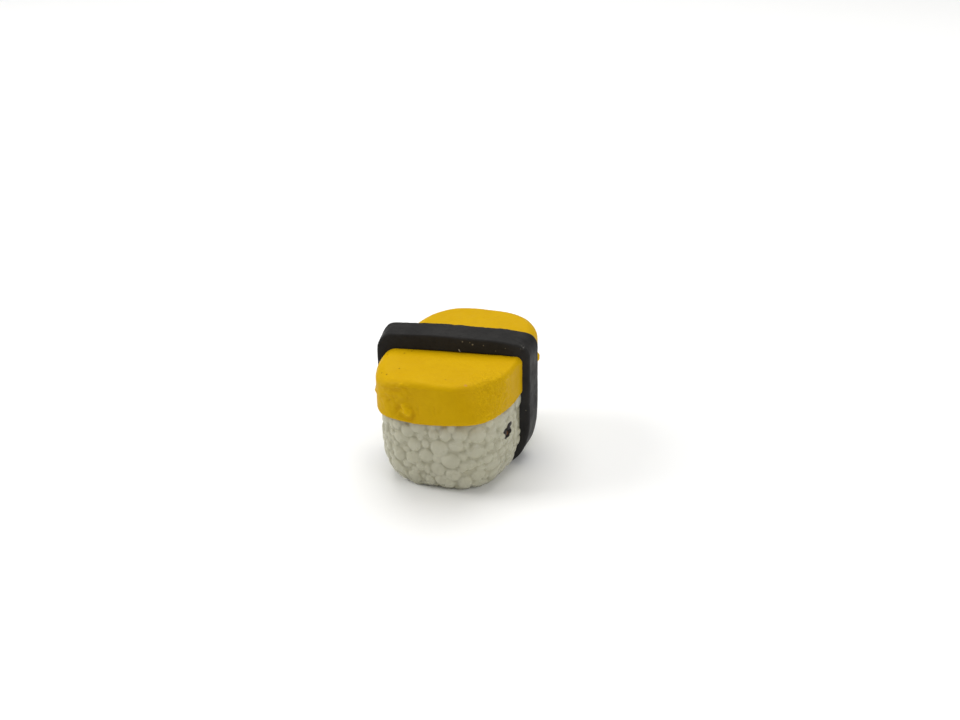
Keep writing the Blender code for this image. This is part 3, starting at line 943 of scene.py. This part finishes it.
# Direction from the middle in degrees, height, half width and half height in millimetres of the grains
# on the front of the loaf.
FRONT_GRAINS = (
    (-104.2, 9.26, 0.89, 0.95), (-109.9, 8.04, 0.88, 0.84), (-100.3, 7.4, 0.91, 0.99), (-110.7, 5.32, 0.94, 0.95),
    (-113.6, 6.06, 0.56, 0.5), (-105.6, 6.41, 0.48, 0.4), (-104.9, 7.92, 0.39, 0.34), (-100.8, 5.22, 1.11, 1),
    (-92.6, 5.82, 0.94, 0.98), (-92.9, 7.72, 0.47, 0.61), (-83.8, 7.33, 1.06, 1.11), (-87.4, 9.33, 0.64, 0.83),
    (-96, 8.64, 0.45, 0.61), (-80.1, 9.45, 0.74, 0.95), (-71.2, 9.53, 0.92, 0.94), (-114.9, 3.04, 1.1, 1.05),
    (-110.4, 2.6, 0.56, 0.84), (-105.9, 4.06, 0.55, 0.61), (-96.9, 4.06, 0.63, 0.71), (-103.1, 1.83, 0.84, 1.14),
    (-92.4, 1.58, 0.62, 1.11), (-85.6, 3.89, 0.93, 1.09), (-92.7, 3.64, 0.4, 0.7), (-85.3, 1.76, 0.71, 1.06),
    (-77.3, 5.49, 1.12, 1.03), (-129.8, 7.38, 0.58, 1.09), (-122, 8.74, 0.48, 1.07), (-116.1, 9.6, 0.49, 0.84),
    (-111.7, 10, 0.56, 0.68), (-119, 7.4, 0.5, 0.65), (-128.6, 4.97, 0.51, 0.94), (-122.3, 4.73, 0.43, 1.04),
    (-124.1, 2.62, 0.56, 0.74), (-115.6, 7.4, 0.33, 0.49), (-112.9, 6.91, 0.38, 0.34), (-115.2, 0.99, 0.77, 0.67),
    (-108.4, 1.66, 0.35, 0.78), (-95.8, 2.35, 0.35, 0.44), (-79.6, 1.44, 0.84, 1.01), (-68.7, 1.68, 0.86, 1.21),
    (-75.7, 3.12, 0.95, 1), (-66.6, 4.8, 0.99, 0.71), (-62.1, 6.81, 1.09, 0.94), (-73.3, 7.82, 0.85, 0.8),
    (-67.5, 7.87, 0.37, 0.63), (-69.5, 6.24, 0.48, 0.61), (-60.6, 2.95, 0.96, 0.91), (-58.7, 4.06, 0.72, 0.47),
    (-60.6, 9.18, 1, 1.05), (-59.4, 4.97, 0.62, 0.45), (-52.5, 6.93, 0.67, 0.61), (-51.6, 8.42, 0.94, 0.88),
    (-50.2, 9.33, 0.8, 0.63), (-54.1, 5.22, 0.84, 0.66), (-48.2, 4.85, 0.52, 0.77), (-49.5, 3.76, 1.16, 0.57),
    (-44.2, 6.39, 0.63, 0.55), (-41.5, 5.12, 0.66, 0.57), (-40.2, 7.43, 0.84, 0.55), (-40.6, 8.89, 0.83, 0.91),
    (-30.8, 4.73, 0.76, 0.8), (-40.2, 3.76, 0.44, 0.43), (-30.9, 2.92, 0.67, 0.54), (-20.2, 5.77, 0.77, 0.94),
    (-19, 7.2, 0.88, 0.93), (-19.4, 3.32, 0.48, 0.72), (-41.7, 2.9, 0.67, 0.38), (-56.2, 6.39, 0.27, 0.55),
)


@dataclass(frozen=True)
class Grain:
    """One moulded grain: where it sits, which way it faces, its half width and height and its turn."""

    place: Vector
    facing: Vector
    half: Pair
    spin: float

    @property
    def radius(self) -> float:
        """The mean of its half width and half height."""
        return (self.half[0] + self.half[1]) / 2


@dataclass
class RiceLoaf:
    """The rice body: one skin over a loaf and the round grains that are moulded on it."""

    inset: float = 0.55 * MM
    belly: float = 2.4
    shorter: float = 0.8 * MM
    square_right: float = 3.1
    height: float = 10.89 * MM
    foot_in: float = 3.4 * MM
    foot_up: float = 6.4 * MM
    shoulder: float = 0.5 * MM
    reach_up: float = 0.35 * MM
    radii: tuple[float, ...] = (1.10 * MM, 0.98 * MM, 0.84 * MM, 0.70 * MM, 0.54 * MM, 0.42 * MM)
    spacing: float = 0.90
    pressed: float = 1.13
    rise: float = 0.36 * MM
    squareness: float = 0.9
    tries: int = 2400
    seed: int = 14
    clear_foot: float = 0.3 * MM
    clear_top: float = 0.4 * MM
    to_foot: float = 1.2
    size_spread: float = 0.08
    longest: float = 1.14
    neighbours: int = 4
    most_grown: float = 1.22
    from_band: float = 0.25
    most_sunk: float = 0.8
    thinnest: float = 0.35
    thick_spread: float = 0.2
    tilt: float = 0.05
    seated: float = 0.3
    domed: float = 1.3
    turns: int = 620
    wall_rows: int = 108
    cap_rows: int = 6
    reach: float = 1.2 * MM
    segments: int = 24
    ball_rings: int = 8
    samples: int = 4000
    crowded: int = 3
    wall_from: float = 0.05 * MM
    step_aside: float = 0.01
    step_up: float = 0.1 * MM
    eased: float = 0.5
    rough_from: Pair = (-62, -50)
    rough_to: Pair = (-22, -10)
    still_foot: Pair = (0.2 * MM, 0.8 * MM)
    flat_foot: float = 0.12 * MM
    fine: Uneven = Uneven(0.010 * MM, 1.1 * MM, 21, 1)
    coarse: Uneven = Uneven(0.035 * MM, 0.7 * MM, 23)
    hollow: float = 0.16 * MM
    hollow_grains: tuple[Triple, ...] = ((-92.4, 1.58, 0.42), (-52.5, 6.93, 0.40))
    finish: RicePaint = RICE_PAINT

    def wall(self, turn: np.ndarray, height: np.ndarray) -> np.ndarray:
        """Points of the loaf's wall."""
        inset = np.full_like(height, self.inset)
        depth = np.clip(1 - height / self.foot_up, 0, 1)
        inset += self.foot_in * (1 - (1 - depth**self.belly) ** (1 / self.belly))
        depth = np.clip((height - self.height + self.shoulder) / self.shoulder, 0, 1)
        inset += self.shoulder * (1 - np.sqrt(1 - depth**2))
        plan = PLAN.outline(turn, inset, self.shorter, self.square_right)
        lift = height * (1 + PLAN.foot_slope * plan[..., 0] / self.height)
        return np.concatenate([plan, lift[..., None]], axis=-1)

    def spot(self, turn: float, height: float) -> np.ndarray:
        """One point of the wall."""
        return self.wall(np.array([turn]), np.array([height]))[0]

    def facing(self, turn: float, height: float) -> Vector:
        """The outward direction of the wall at one place."""
        low, high = max(0.0, height - self.step_up), min(self.height, height + self.step_up)
        turns = np.array([turn + self.step_aside, turn - self.step_aside, turn, turn])
        ends = self.wall(turns, np.array([height, height, high, low]))
        return Vector(ends[0] - ends[1]).cross(Vector(ends[2] - ends[3])).normalized()

    def levels(self) -> np.ndarray:
        """Heights from the shoulder down to the foot, evenly spaced along the wall's slope."""
        fine = self.height * np.linspace(0, 1, self.samples) ** self.crowded
        line = self.wall(np.zeros_like(fine), fine)
        length = np.r_[0, np.cumsum(np.linalg.norm(np.diff(line, axis=0), axis=1))]
        return np.interp(np.linspace(length[-1], 0, self.wall_rows), length, fine)

    def loaf(self) -> bpy.types.Mesh:
        """The plain loaf under the grains, in millimetres, with its wall's points marked."""
        turn = np.linspace(-math.pi, math.pi, self.turns, endpoint=False)
        inner = np.arange(1, self.cap_rows + 1) / (self.cap_rows + 1)
        rim = self.wall(turn, np.full_like(turn, self.height))
        rows = [rim * (share, share, 1) for share in inner]
        for row in rows:
            row[:, 2] = self.height + PLAN.foot_slope * row[:, 0] + self.reach_up
        rows += [self.wall(turn, np.full_like(turn, height)) for height in self.levels()]
        foot = self.wall(turn, np.zeros_like(turn))
        rows += [foot * (share, share, 1) for share in inner[::-1]]
        top = np.array([[0, 0, self.height + self.reach_up]])
        points = np.concatenate([top, *rows, np.array([[0, 0, 0.0]])])
        mesh = mesh_from("rice_loaf_core", points / MM, ball_faces(self.turns, len(rows)))
        first = 1 + self.cap_rows * self.turns
        last = first + self.wall_rows * self.turns
        on_wall = np.zeros(len(points), bool)
        on_wall[first:last] = points[first:last, 2] > self.wall_from
        remember(mesh, "on_wall", on_wall, "BOOLEAN")
        return mesh

    def grains(self) -> list[Grain]:
        """The grains on the wall: the front's own, then the rest laid by seeded darts."""
        chance = random.Random(self.seed)
        found: list[Grain] = []
        for degrees, high, half_width, half_height in FRONT_GRAINS:
            turn, height = math.radians(degrees), high * MM
            point = Vector(self.spot(turn, height))
            found.append(Grain(point, self.facing(turn, height), (half_width * MM, half_height * MM), 0.0))
        for radius in self.radii:
            for _ in range(self.tries):
                turn = chance.uniform(-math.pi, math.pi)
                room = self.height - self.clear_foot - self.clear_top
                height = self.clear_foot + room * chance.random() ** self.to_foot
                size = radius * chance.uniform(1 - self.size_spread, 1 + self.size_spread)
                point = Vector(self.spot(turn, height))
                if all((point - other.place).length > self.spacing * (size + other.radius) for other in found):
                    long = chance.uniform(1.0, self.longest)
                    half = (size * long, size / long)
                    found.append(Grain(point, self.facing(turn, height), half, chance.uniform(0, math.tau)))
        return found

    def seats(self) -> bpy.types.Object:
        """Points that carry each grain's size and turn, in millimetres."""
        chance = random.Random(self.seed + 1)
        spots, sizes, turned = [], [], []
        grains = self.grains()
        middles = np.array([grain.place for grain in grains])
        radii = np.array([grain.radius for grain in grains])
        for grain in grains:
            point, facing, radius = grain.place, grain.facing, grain.radius
            away = np.linalg.norm(middles - np.array(point), axis=1) / (radii + radius)
            near = np.sort(away)[1 : 1 + self.neighbours].mean()
            grown = self.pressed * float(np.clip(near, 1.0, self.most_grown))
            above = max(0.0, point.z + radius - self.height - PLAN.foot_slope * point.x - self.clear_foot)
            if BAND.beside(np.array(point)) < self.from_band * radius or above > self.most_sunk * radius:
                continue
            share = min(1.0, self.thinnest + (1 - self.thinnest) * radius / MM)
            thick = self.rise * share * chance.uniform(1 - self.thick_spread, 1 + self.thick_spread)
            lean = Matrix.Rotation(chance.gauss(0, self.tilt), 4, "X")
            lean = lean @ Matrix.Rotation(chance.gauss(0, self.tilt), 4, "Y")
            spin = Matrix.Rotation(grain.spin, 4, "Z")
            seat = facing.to_track_quat("Z", "Y").to_matrix().to_4x4() @ lean @ spin
            spots.append((point - facing * thick * self.seated - Vector((0, 0, above))) / MM)
            sizes.append((grain.half[0] * grown / MM, grain.half[1] * grown / MM, thick * self.domed / MM))
            turned.append(tuple(seat.to_euler()))
        mesh = bpy.data.meshes.new("rice_seats")
        mesh.from_pydata([tuple(spot) for spot in spots], [], [])
        for name, rows in (("grain_size", sizes), ("grain_turn", turned)):
            layer = mesh.attributes.new(name, "FLOAT_VECTOR", "POINT")
            layer.data.foreach_set("vector", np.array(rows, np.float32).ravel())
        return new_object("rice_seats", mesh)

    def grain_tree(self) -> tuple[bpy.types.NodeTree, dict[str, str]]:
        """The tree that sets a flattened ball on each seat and wraps the loaf's skin over them.

        Returns:
            The tree, and its inputs' identifiers by name.
        """
        tree = bpy.data.node_groups.new("moulded_grains", "GeometryNodeTree")
        face = tree.interface
        kinds = {"Loaf": "Geometry", "Seats": "Object", "Squareness": "Float", "Reach": "Float"}
        kinds.update({"Segments": "Int", "Material": "Material"})
        keys = {
            name: face.new_socket(name=name, in_out="INPUT", socket_type=f"NodeSocket{kind}").identifier
            for name, kind in kinds.items()
        }
        face.new_socket(name="Skin", in_out="OUTPUT", socket_type="NodeSocketGeometry")
        graph = Graph(tree)
        given = graph.add("NodeGroupInput").outputs
        place = graph.add("GeometryNodeInputPosition").outputs[0]
        inputs = {"Segments": given["Segments"], "Rings": self.ball_rings, "Radius": 1.0}
        ball = graph.add("GeometryNodeMeshUVSphere", inputs).outputs["Mesh"]
        axes = graph.add("ShaderNodeSeparateXYZ", {0: place}).outputs
        power = graph.math("POWER", graph.math("ABSOLUTE", axes[2]), given["Squareness"])
        flat = graph.times(power, graph.math("SIGN", axes[2]))
        pressed = graph.add("ShaderNodeCombineXYZ", {0: axes[0], 1: axes[1], 2: flat}).outputs[0]
        ball = graph.add("GeometryNodeSetPosition", {"Geometry": ball, "Position": pressed}).outputs[0]
        seats = graph.add("GeometryNodeObjectInfo", {"Object": given["Seats"]}).outputs["Geometry"]
        size, turn, on_wall = (
            graph.add("GeometryNodeInputNamedAttribute", {"Name": name}, data_type=kind).outputs[0]
            for name, kind in (("grain_size", "FLOAT_VECTOR"), ("grain_turn", "FLOAT_VECTOR"), ("on_wall", "BOOLEAN"))
        )
        turn = graph.add("FunctionNodeEulerToRotation", {0: turn}).outputs[0]
        inputs = {"Points": seats, "Instance": ball, "Rotation": turn, "Scale": size}
        grains = graph.add("GeometryNodeInstanceOnPoints", inputs).outputs[0]
        both = graph.add("GeometryNodeJoinGeometry")
        tree.links.new(graph.add("GeometryNodeRealizeInstances", {"Geometry": grains}).outputs[0], both.inputs[0])
        tree.links.new(given["Loaf"], both.inputs[0])
        out = graph.add("GeometryNodeInputNormal").outputs[0]
        above = graph.vector("ADD", place, graph.vector("SCALE", out, Scale=given["Reach"]))
        inputs = {"Target Geometry": both.outputs[0], "Source Position": above}
        inputs["Ray Direction"] = graph.vector("SCALE", out, Scale=-1.0)
        inputs["Ray Length"] = graph.times(given["Reach"], 2.0)
        met = graph.add("GeometryNodeRaycast", inputs).outputs
        chosen = graph.add("FunctionNodeBooleanMath", {0: met["Is Hit"], 1: on_wall}).outputs[0]
        inputs = {"Geometry": given["Loaf"], "Selection": chosen, "Position": met["Hit Position"]}
        wrapped = graph.add("GeometryNodeSetPosition", inputs).outputs[0]
        whole = graph.add("GeometryNodeRealizeInstances", {"Geometry": wrapped}).outputs[0]
        inputs = {"Geometry": whole, "Material": given["Material"]}
        painted = graph.add("GeometryNodeSetMaterial", inputs).outputs[0]
        tree.links.new(painted, graph.add("NodeGroupOutput").inputs[0])
        return tree, keys

    def relief(self, points: np.ndarray) -> np.ndarray:
        """How far the casting's unevenness stands out of the grains at each point."""
        height = self.fine.height(points)
        turn = np.degrees(np.arctan2(points[:, 1] / PLAN.half_length, points[:, 0] / PLAN.half_width))
        rough = smooth_step(turn, *self.rough_from) * (1 - smooth_step(turn, *self.rough_to))
        height += rough * self.coarse.height(points)
        for degrees, high, size in self.hollow_grains:
            middle = self.spot(math.radians(degrees), high * MM)
            away = np.linalg.norm(points - middle, axis=1)
            height -= self.hollow * np.exp(-((away / (size * MM)) ** 4))
        return height

    def build(self) -> bpy.types.Object:
        """The rice as one closed skin, in place."""
        core = new_object("rice_core", self.loaf())
        seats = self.seats()
        tree, keys = self.grain_tree()
        paint = self.finish.make()
        core.data.materials.append(paint)
        moulded = core.modifiers.new("moulded", "NODES")
        moulded.node_group = tree
        values = {"Seats": seats, "Squareness": self.squareness, "Reach": self.reach / MM}
        values.update({"Segments": self.segments, "Material": paint})
        for name, value in values.items():
            moulded[keys[name]] = value
        plain, plain_out = places(core.data) * MM, outward(core.data)
        eased = core.modifiers.new("eased", "SMOOTH")
        eased.factor, eased.iterations = self.eased, 1
        sight = bpy.context.evaluated_depsgraph_get()
        mesh = bpy.data.meshes.new_from_object(core.evaluated_get(sight), depsgraph=sight)
        mesh.name = "rice_look"
        for helper in (core, seats):
            bpy.data.objects.remove(helper)
        points = places(mesh) * MM
        # How far each point stands out of the plain loaf, which the paint uses to lay painted shade in the creases.
        raised = np.clip(((points - plain) * plain_out).sum(axis=1) / self.rise, 0, 1)
        remember(mesh, "grain_rise", raised)
        put(mesh, points)
        facing = outward(mesh)
        height = self.relief(points)
        points += facing * (height * smooth_step(points[:, 2], *self.still_foot))[:, None]
        points[:, 2] = np.where(points[:, 2] < self.flat_foot, 0.0, points[:, 2])
        put(mesh, inside_box(points))
        mesh.materials.clear()
        mesh.materials.append(paint)
        mesh.shade_smooth()
        return new_object("rice", mesh)

    def dress(self, piece: bpy.types.Object) -> None:
        """Puts the rice in the CAD loaf's place."""
        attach(piece, "root")
        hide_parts("rice_loaf")


@dataclass
class SeaweedBand:
    """The seaweed: a closed ring round the sushi, with softly broken edges."""

    edge: float = 0.35 * MM
    steps: tuple[int, int, int, int] = (30, 90, 36, 66)
    face_steps: tuple[int, int, int] = (28, 11, 8)
    edge_steps: int = 6
    deeper: float = 0.22
    sunk: float = 0.05 * MM
    crown: float = 0.30 * MM
    crown_up: Pair = (14.5 * MM, 18.2 * MM)
    crown_from: Pair = (-8.0 * MM, -3.5 * MM)
    crown_to: Pair = (5.5 * MM, 9.5 * MM)
    lip: float = 0.10 * MM
    lip_from: float = 0.3 * BAND.half_width
    ragged: Uneven = Uneven(0.07 * MM, 0.8 * MM, 35)
    broad: Uneven = Uneven(0.040 * MM, 3.2 * MM, 31)
    fine: Uneven = Uneven(0.012 * MM, 0.7 * MM, 33)
    front_in: float = 0.60 * MM
    rear_out: float = 0.28 * MM
    turned: Pair = (5.5 * MM, 9.0 * MM)
    still_foot: Pair = (0.1 * MM, 1.5 * MM)
    soft_limit: float = 19.40 * MM
    soft_room: float = 0.12 * MM
    finish: SeaweedPaint = SEAWEED_PAINT

    def crown_lift(self, points: np.ndarray) -> np.ndarray:
        """How much higher the band's top is than a straight one: a low crown and a ragged rear lip."""
        x = points[:, 0]
        upper = smooth_step(points[:, 2], *self.crown_up)
        window = smooth_step(x, *self.crown_from) * (1 - smooth_step(x, *self.crown_to))
        rear = smooth_step(BAND.across(points), self.lip_from, BAND.half_width)
        edge = self.lip + self.ragged.height(points)
        return upper * (self.crown * window + rear * edge)

    def side_turn(self, x: np.ndarray, section: np.ndarray) -> np.ndarray:
        """How far the right side's outer face stands further out: in at the front, out at the rear.

        Args:
            x: how far to the right each point is, by rounds and by places on the cross-section.
            section: the cross-section's places, as `section` gives them.

        Returns:
            Metres to the right for each point.
        """
        rear = (1 + section[:, 2] / BAND.half_width) / 2
        outer = np.clip(1 - section[:, 0], 0, 1)
        right = smooth_step(x, *self.turned)
        return right * outer * (self.rear_out * rear - self.front_in * (1 - rear))

    def section(self) -> list[Triple]:
        """The ring's cross-section, as (share of the thickness, metres further in, place along)."""
        over, front, inner = self.face_steps
        width, edge = BAND.half_width, self.edge
        deep = 1 + self.deeper
        run = []
        for side in (-1, 1):
            half = [(deep * (1 - part), edge * part, side * width) for part in np.arange(front) / front]
            for angle in np.linspace(0, math.pi / 2, self.edge_steps):
                along = width - edge * (1 - math.cos(angle))
                half.append((0.0, edge * (1 - math.sin(angle)), side * along))
            run.append(half)
        first, last = run
        middle = [(0.0, 0.0, (width - edge) * (2 * part - 1)) for part in np.arange(1, over) / over]
        under = [(deep, 0.0, width * (1 - 2 * part)) for part in np.arange(1, inner) / inner]
        return first + middle + last[::-1] + under

    def build(self) -> bpy.types.Object:
        """The band, closed and in place."""
        section = self.section()
        outlines = [BAND.outline(share, more, self.steps) for share, more, _ in section]
        rounds, corners = len(outlines[0]), len(section)
        grid = np.zeros((rounds, corners, 3))
        for corner, (outline, (_, _, along)) in enumerate(zip(outlines, section)):
            grid[:, corner, 0], grid[:, corner, 1], grid[:, corner, 2] = outline[:, 0], along, outline[:, 1]
        grid[:, :, 0] += self.side_turn(grid[:, :, 0], np.array(section))
        number = np.arange(rounds * corners).reshape(rounds, corners)
        after, beside = np.roll(number, -1, 0), np.roll(number, -1, 1)
        both = np.roll(after, -1, 1)
        faces = [tuple(face) for face in np.stack([number, after, both, beside], -1).reshape(-1, 4).tolist()]
        points = grid.reshape(-1, 3)
        cos, sin = math.cos(BAND.skew), math.sin(BAND.skew)
        x, y = points[:, 0].copy(), points[:, 1].copy()
        points[:, 0], points[:, 1] = x * cos - y * sin, x * sin + y * cos + BAND.middle
        mesh = mesh_from("seaweed_look", points, faces)
        facing, points = outward(mesh), places(mesh)
        height = self.broad.height(points) + self.fine.height(points) - self.sunk
        points += facing * (height * smooth_step(points[:, 2], *self.still_foot))[:, None]
        points[:, 2] += self.crown_lift(points)
        over = np.maximum(points[:, 2] - self.soft_limit, 0)
        points[:, 2] -= over - self.soft_room * (1 - np.exp(-over / self.soft_room))
        put(mesh, inside_box(points))
        return new_object("seaweed", mesh)

    def dress(self, piece: bpy.types.Object) -> None:
        """Paints the band and puts it in the CAD band's place."""
        piece.data.materials.append(self.finish.make())
        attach(piece, "root")
        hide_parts("seaweed_band")


@dataclass
class Lint:
    """A short curved fibre caught in the paint on the band's front face."""

    ends: tuple[Triple, ...] = (
        (1.03 * MM, -3.17 * MM, 17.60 * MM),
        (1.00 * MM, -3.20 * MM, 17.38 * MM),
        (1.24 * MM, -3.14 * MM, 17.14 * MM),
    )
    radius: float = 0.038 * MM
    sides: int = 6
    steps: int = 14
    thinner: float = 0.6
    finish: LintFelt = LintFelt()

    def build(self) -> bpy.types.Object:
        """The fibre as a closed tube that thins out at its ends."""
        first, bend, last = (np.array(end) for end in self.ends)
        share = np.linspace(0, 1, self.steps)[:, None]
        path = first * (1 - share) ** 2 + bend * 2 * share * (1 - share) + last * share**2
        along = np.gradient(path, axis=0)
        along /= np.linalg.norm(along, axis=1)[:, None]
        across = np.cross(along, (0.0, 1.0, 0.0))
        across /= np.linalg.norm(across, axis=1)[:, None]
        out = np.cross(along, across)
        turn = np.linspace(0, 2 * math.pi, self.sides, endpoint=False)
        rows = []
        for step in range(1, self.steps - 1):
            thin = self.radius * (1 - self.thinner * abs(2 * share[step, 0] - 1) ** 3)
            ring = np.outer(np.cos(turn), across[step]) + np.outer(np.sin(turn), out[step])
            rows.append(path[step] + thin * ring)
        points = np.concatenate([path[:1], *rows, path[-1:]])
        return new_object("seaweed_lint", mesh_from("lint_look", points, ball_faces(self.sides, len(rows))))

    def dress(self, piece: bpy.types.Object) -> None:
        """Gives the fibre its felted look and attaches it to the root."""
        piece.data.materials.append(self.finish.make())
        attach(piece, "root")


# Studio


@dataclass(frozen=True)
class Softbox:
    """A square soft light."""

    name: str
    place: Triple
    size: float
    watts: float

    def build(self, target: Vector) -> None:
        """Hangs the light and turns it to the target."""
        light = bpy.data.lights.new(self.name, "AREA")
        light.shape, light.size, light.energy = "SQUARE", self.size, self.watts
        lamp = bpy.data.objects.new(self.name, light)
        lamp.location = self.place
        lamp.rotation_euler = (target - Vector(self.place)).to_track_quat("-Z", "Y").to_euler()
        bpy.context.scene.collection.objects.link(lamp)


@dataclass
class Studio:
    """A pale floor, soft light from above and behind, and the camera."""

    floor_half: float = 3.0
    floor_colour: Triple = (0.88, 0.88, 0.87)
    floor_roughness: float = 0.8
    floor_specular: float = 0.2
    sky: float = 0.29
    azimuth: float = math.radians(19.66)
    pitch: float = math.radians(25.5)
    roll: float = math.radians(1.3)
    distance: float = 185.71 * MM
    side: float = 2.80 * MM
    rise: float = 13.42 * MM
    lens: float = 48.75
    sensor: float = 36.0
    nearest: float = 0.005
    aim: Triple = (0.0, -1.13 * MM, 0.0)
    lit: Triple = (0.0, 0.0, 0.01)
    lights: tuple[Softbox, ...] = field(
        default_factory=lambda: (
            Softbox("overhead", (-0.05, 0.22, 0.60), 0.60, 3.5),
            Softbox("left_fill", (-0.5, -0.15, 0.35), 0.30, 2.0),
            Softbox("right_fill", (0.5, -0.2, 0.30), 0.40, 1.2),
        )
    )

    def build_floor(self) -> None:
        """The floor."""
        half = self.floor_half
        points = np.array([(-half, -half, 0), (half, -half, 0), (half, half, 0), (-half, half, 0)])
        mesh = mesh_from("floor", points, [(0, 1, 2, 3)])
        looks = {"Base Color": rgba(self.floor_colour), "Roughness": self.floor_roughness}
        looks["Specular IOR Level"] = self.floor_specular
        mesh.materials.append(new_material("pale_floor", self.floor_colour, looks)[0])
        new_object("floor", mesh)

    def build_camera(self) -> None:
        """The camera, which looks down at the front's right corner."""
        flat, down = math.cos(self.pitch), math.sin(self.pitch)
        ahead = Vector((-math.sin(self.azimuth) * flat, math.cos(self.azimuth) * flat, -down))
        level = Vector((math.cos(self.azimuth), math.sin(self.azimuth), 0.0))
        above = level.cross(ahead)
        right = level * math.cos(self.roll) - above * math.sin(self.roll)
        up = above * math.cos(self.roll) + level * math.sin(self.roll)
        place = right * self.side + up * self.rise - ahead * self.distance + Vector(self.aim)
        lens = bpy.data.cameras.new("camera")
        lens.lens, lens.sensor_width, lens.clip_start = self.lens, self.sensor, self.nearest
        camera = bpy.data.objects.new("camera", lens)
        axes = Matrix((right, up, -ahead)).transposed().to_4x4()
        camera.matrix_world = Matrix.Translation(place) @ axes
        bpy.context.scene.collection.objects.link(camera)
        bpy.context.scene.camera = camera

    def build(self) -> None:
        """Floor, lights, sky and camera."""
        self.build_floor()
        self.build_camera()
        for softbox in self.lights:
            softbox.build(Vector(self.lit))
        world = bpy.data.worlds.new("sky")
        world.use_nodes = True
        ground = world.node_tree.nodes["Background"]
        ground.inputs["Color"].default_value = rgba((1.0, 1.0, 1.0))
        ground.inputs["Strength"].default_value = self.sky
        bpy.context.scene.world = world
        bpy.context.scene.view_settings.view_transform = "Standard"


def main() -> None:
    """Builds and dresses every piece."""
    logging.basicConfig(level=logging.INFO, format="%(message)s", stream=sys.stdout)
    Studio().build()
    for maker in (RiceLoaf(), EggSlab(), SeaweedBand(), Lint()):
        piece = maker.build()
        maker.dress(piece)
        triangles = sum(face.loop_total - 2 for face in piece.data.polygons)
        LOG.info("%s: %d points, %d triangles", piece.name, len(piece.data.vertices), triangles)


if __name__ == "__main__":
    main()
